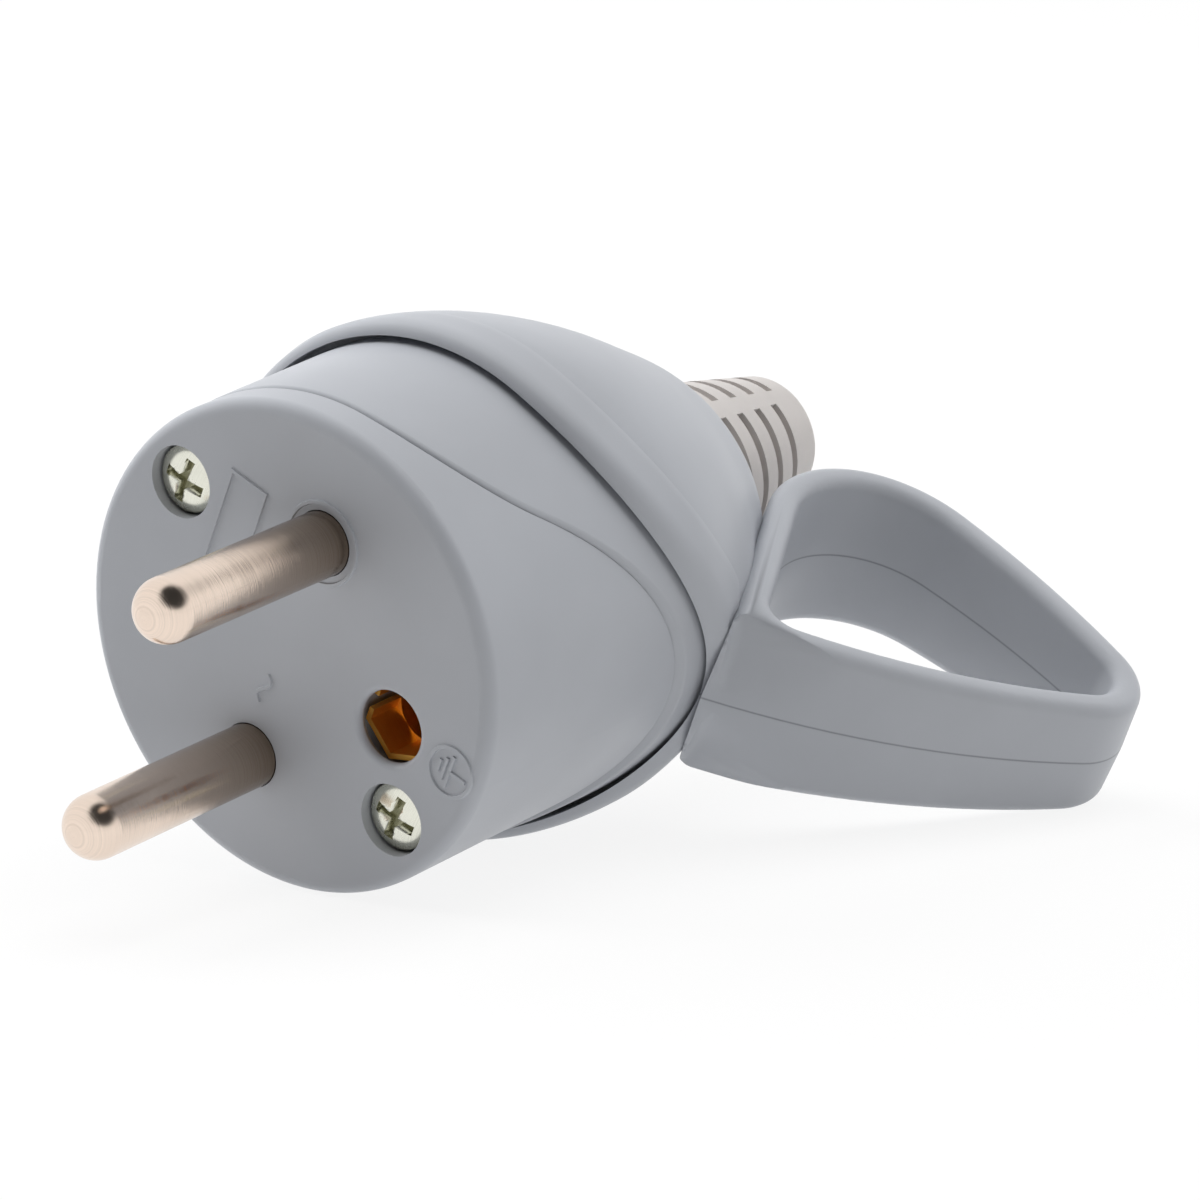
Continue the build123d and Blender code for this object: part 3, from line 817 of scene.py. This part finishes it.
@dataclass
class Contacts:
    """Pins, earth contact and all screws."""

    axes: PlugAxes
    screw_lift_mm: float = 0.42
    smooth_below: float = 20.0

    def _nickel(self) -> WorkedMetal:
        """Finish of the pins, whose colour is darker and browner towards the face: a painted reflection of
        the face.
        """
        return WorkedMetal(
            "nickel_plated_turned_brass",
            Metal.NICKEL_PLATE,
            axis=self.axes.back,
            back=self.axes.back,
            painted_darkening_from_mm=-13.0,
            painted_darkening_to_mm=0.0,
            painted_darkening_share=0.8,
        )

    def _brass(self) -> WorkedMetal:
        """Finish of the earth contact, with painted shade that darkens it deep in its hole."""
        return WorkedMetal(
            "pressed_brass_strip",
            Metal.BRASS_STRIP,
            axis=self.axes.back,
            back=self.axes.back,
            painted_darkening_from_mm=2.0,
            painted_darkening_to_mm=7.0,
            painted_darkening_share=0.6,
            line_strength=0.1,
        )

    def _zinc(self) -> WorkedMetal:
        """Finish of the screws, with painted shade that darkens them down in the crosses of the heads in
        the face.
        """
        return WorkedMetal(
            "zinc_plated_steel",
            Metal.ZINC_PLATE,
            axis=self.axes.earth,
            back=self.axes.back,
            painted_darkening_from_mm=0.8,
            painted_darkening_to_mm=1.1,
            painted_darkening_share=0.9,
            line_strength=0.12,
        )

    def dress_nodes(self, nodes: dict[str, bpy.types.Object]) -> None:
        """Dress the metal nodes and build the cover screws.

        Args:
            nodes: Objects of the CAD nodes by name.
        """
        nickel = self._nickel().material()
        brass = self._brass().material()
        zinc = self._zinc().material()
        for name in ("line_pin", "neutral_pin"):
            dress(nodes[name], nickel)
        dress(nodes["earth_contact"], brass)
        for name in ("terminal_screws", "clamp_screws"):
            dress(nodes[name], zinc)
        self.build_cover_screws(nodes["cover_screws"], zinc)

    def build_cover_screws(self, node: bpy.types.Object, zinc: bpy.types.Material) -> None:
        """Build the cover screws with their heads nearer to the face, in place of the CAD node.

        Args:
            node: Object of the CAD screws, which stays as it is.
            zinc: Material that they take.
        """
        made = copied(node)
        bmesh.ops.translate(made, vec=self.axes.back * -self.screw_lift_mm, verts=made.verts)
        piece = add_smooth_piece("cover_screw_heads", made, zinc, self.smooth_below)
        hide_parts("cover_screws")


@dataclass
class FaceMarks:
    """Generic marks that the tool leaves standing on the face, placed as (x, y) on it."""

    axes: PlugAxes
    material: bpy.types.Material
    line: RaisedLine = RaisedLine()
    round_steps: int = 72
    earth_at: Point = (15.8, -0.2)
    earth_ring_r: float = 1.86
    earth_stem: float = 1.45
    earth_bars: tuple[float, ...] = (1.3, 0.9, 0.5)
    earth_bar_pitch: float = 0.48
    wave_at: Point = (-0.7, 3.9)
    wave_length: float = 2.5
    wave_rise: float = 0.42
    plate_from: Point = (-8.85, -10.0)
    plate_to: Point = (-5.6, -1.6)
    pin_at: Point = (0.0, -9.5)
    pin_ring_r: float = 3.05

    def _mark(self, name: str, *paths: tuple[list[Point], bool]) -> None:
        """Build one mark from flat paths.

        Args:
            name: Name of the piece.
            *paths: Points on the face in millimetres, each path with whether it is closed.
        """
        made = bmesh.new()
        for points, closed in paths:
            path = [self.axes.place(x, y, 0) for x, y in points]
            self.line.lay(made, path, [-self.axes.back] * len(path), closed)
        add_piece(name, made, self.material)

    def _circle(self, middle: Point, radius: float) -> list[Point]:
        """Points of a circle on the face."""
        turns = [math.tau * step / self.round_steps for step in range(self.round_steps)]
        return [(middle[0] + radius * math.cos(a), middle[1] + radius * math.sin(a)) for a in turns]

    def build_earth_sign(self) -> None:
        """Build the earth sign: a ring, a stem towards the rim and three bars across it."""
        x, y = self.earth_at
        paths = [(self._circle(self.earth_at, self.earth_ring_r), True)]
        paths.append(([(x, y), (x + self.earth_stem, y)], False))
        for order, half in enumerate(self.earth_bars):
            bar_x = x - order * self.earth_bar_pitch
            paths.append(([(bar_x, y - half), (bar_x, y + half)], False))
        self._mark("face_earth_sign", *paths)

    def build_current_sign(self) -> None:
        """Build the wave that stands for alternating current."""
        x, y = self.wave_at
        shares = [step / self.round_steps for step in range(self.round_steps + 1)]
        wave = [
            (x + self.wave_rise * math.sin(math.tau * share), y + self.wave_length * (share - 0.5))
            for share in shares
        ]
        self._mark("face_current_sign", (wave, False))

    def build_plate(self) -> None:
        """Build the border of the blank plate beside a pin."""
        (low_x, low_y), (high_x, high_y) = self.plate_from, self.plate_to
        border = [(low_x, low_y), (high_x, low_y), (high_x, high_y), (low_x, high_y)]
        self._mark("face_blank_plate", (border, True))

    def build_pin_ring(self) -> None:
        """Build the thin ring round the root of one pin."""
        self._mark("face_pin_ring", (self._circle(self.pin_at, self.pin_ring_r), True))

    def build(self) -> None:
        """Build all the marks."""
        self.build_earth_sign()
        self.build_current_sign()
        self.build_plate()
        self.build_pin_ring()


@dataclass
class StudioFloor:
    """White paper sweep: plain white to the eye, with the object's shadow kept in it."""

    level: float
    size: float = 12.0
    colour: str = "#f6f6f6"
    kept_shadow: float = 0.14
    glow: float = 0.42

    def material(self) -> bpy.types.Material:
        """Build the paper.

        Returns:
            Diffuse white, mostly replaced by plain white where the eye sees it and, as paper that
            is lit from all round, in part where its light falls on the plug.
        """
        material = new_material("white_paper")
        tree = material.node_tree
        share = add_node(tree, "ShaderNodeMapRange", {
            "Value": seen_directly(tree, add_node(tree, "ShaderNodeLightPath")),
            "To Min": self.glow,
            "To Max": 1 - self.kept_shadow,
        })
        paper = add_node(tree, "ShaderNodeBsdfDiffuse", {"Color": linear(self.colour)})
        plain = add_node(tree, "ShaderNodeEmission", {"Color": WHITE, "Strength": 1.0})
        both = add_node(tree, "ShaderNodeMixShader", {
            0: share.outputs["Result"],
            1: paper.outputs["BSDF"],
            2: plain.outputs["Emission"],
        })
        add_node(tree, "ShaderNodeOutputMaterial", {"Surface": both.outputs["Shader"]})
        return material

    def build(self) -> None:
        """Lay the floor."""
        half = self.size / 2
        made = bmesh.new()
        corners = ((-half, -half), (half, -half), (half, half), (-half, half))
        made.faces.new([made.verts.new((x, y, self.level)) for x, y in corners])
        floor = placed("floor", made)
        floor.data.materials.append(self.material())
        floor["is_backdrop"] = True


@dataclass
class Room:
    """Surroundings: white to the eye, weak to matt surfaces, with a dark ceiling over the set."""

    ceiling_towards: Triple = (0.607, -0.107, 0.788)
    ceiling_core: float = 35.0
    ceiling_edge: float = 48.0
    ceiling_light: float = 0.04
    ambient: float = 0.02

    def build(self) -> None:
        """Build the world."""
        world = bpy.data.worlds.new("room")
        bpy.context.scene.world = world
        world.use_nodes = True
        tree = world.node_tree
        tree.nodes.clear()
        path = add_node(tree, "ShaderNodeLightPath")
        towards = add_node(tree, "ShaderNodeTexCoord").outputs["Generated"]
        facing = add_node(tree, "ShaderNodeVectorMath", {
            0: towards,
            1: Vector(self.ceiling_towards).normalized(),
        }, operation="DOT_PRODUCT")
        mirrored = add_node(tree, "ShaderNodeMapRange", {
            "Value": facing.outputs["Value"],
            "From Min": math.cos(math.radians(self.ceiling_edge)),
            "From Max": math.cos(math.radians(self.ceiling_core)),
            "To Min": 1.0,
            "To Max": self.ceiling_light,
        }, interpolation_type="SMOOTHSTEP")
        shown = add_node(tree, "ShaderNodeMath", {
            0: mirrored.outputs["Result"],
            1: path.outputs["Is Camera Ray"],
        }, operation="MAXIMUM")
        strength = add_node(tree, "ShaderNodeMapRange", {
            "Value": seen_directly(tree, path),
            "To Min": self.ambient,
            "To Max": shown.outputs["Value"],
        })
        light = add_node(tree, "ShaderNodeBackground", {
            "Color": WHITE,
            "Strength": strength.outputs["Result"],
        })
        add_node(tree, "ShaderNodeOutputWorld", {"Surface": light.outputs["Background"]})


@dataclass(frozen=True)
class Softbox:
    """Square softbox, aimed at the object."""

    name: str
    spot: Triple
    size: float
    watts: float

    def build(self, aim: Vector) -> None:
        """Hang the softbox.

        Args:
            aim: Point that it looks at.
        """
        lamp = bpy.data.lights.new(self.name, "AREA")
        lamp.size = self.size
        lamp.energy = self.watts
        holder = bpy.data.objects.new(self.name, lamp)
        bpy.context.collection.objects.link(holder)
        # Metal shows the room's even white instead of a burnt-out square.
        holder.visible_glossy = False
        spot = Vector(self.spot)
        turn = (aim - spot).to_track_quat("-Z", "Y").to_matrix().to_4x4()
        holder.matrix_world = Matrix.Translation(spot) @ turn


@dataclass
class PhotographersCamera:
    """Camera at the photographer's place, in the plug's own axes and millimetres."""

    axes: PlugAxes
    eye: Triple = (175.22, -227.61, -294.39)
    looks_at: Triple = (17.63, -13.57, 8.53)
    picture_down: Triple = (0.5422, 0.7929, -0.2782)
    lens_mm: float = 174.0
    sensor_mm: float = 36.0
    nearest_mm: float = 10.0

    def build(self) -> None:
        """Set the camera up."""
        eye = self.axes.place(*self.eye)
        forward = (self.axes.place(*self.looks_at) - eye).normalized()
        right = self.axes.turn(*self.picture_down).cross(forward).normalized()
        up = right.cross(forward)
        camera = bpy.data.cameras.new("camera")
        camera.sensor_width = self.sensor_mm
        camera.lens = self.lens_mm
        camera.clip_start = self.nearest_mm * MM
        holder = bpy.data.objects.new("camera", camera)
        bpy.context.collection.objects.link(holder)
        turn = Matrix((right, up, -forward)).transposed().to_4x4()
        holder.matrix_world = Matrix.Translation(eye) @ turn
        bpy.context.scene.camera = holder


@dataclass
class Studio:
    """Floor, room, lamps and camera."""

    axes: PlugAxes
    floor_level: float
    middle: Vector
    lamps: tuple[Softbox, ...] = (
        Softbox("softbox_top", (0.0, 0.05, 0.9), size=0.9, watts=5.5),
        Softbox("softbox_left", (-0.8, 0.0, 0.4), size=0.9, watts=9.4),
        Softbox("softbox_back", (0.4, 0.4, 0.6), size=0.9, watts=3.8),
    )

    def build(self) -> None:
        """Build the whole studio."""
        StudioFloor(self.floor_level).build()
        Room().build()
        for lamp in self.lamps:
            lamp.build(self.middle)
        PhotographersCamera(self.axes).build()
        bpy.context.scene.view_settings.view_transform = "Standard"
        LOG.info("studio is up, floor at %.2f mm", self.floor_level / MM)


def main() -> None:
    """Load the frame, dress it, add the small pieces and set up the studio."""
    logging.basicConfig(level=logging.INFO, format="%(name)s: %(message)s")
    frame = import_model()
    cad_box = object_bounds()
    axes = PlugAxes.from_record(frame["record"])
    nodes = frame["nodes"]
    moulding = Housing(axes).dress_nodes(nodes)
    Boot().dress_nodes(nodes)
    Contacts(axes).dress_nodes(nodes)
    FaceMarks(axes, moulding).build()
    low, high = cad_box
    Studio(axes, low.z, (low + high) / 2).build()


if __name__ == "__main__":
    main()
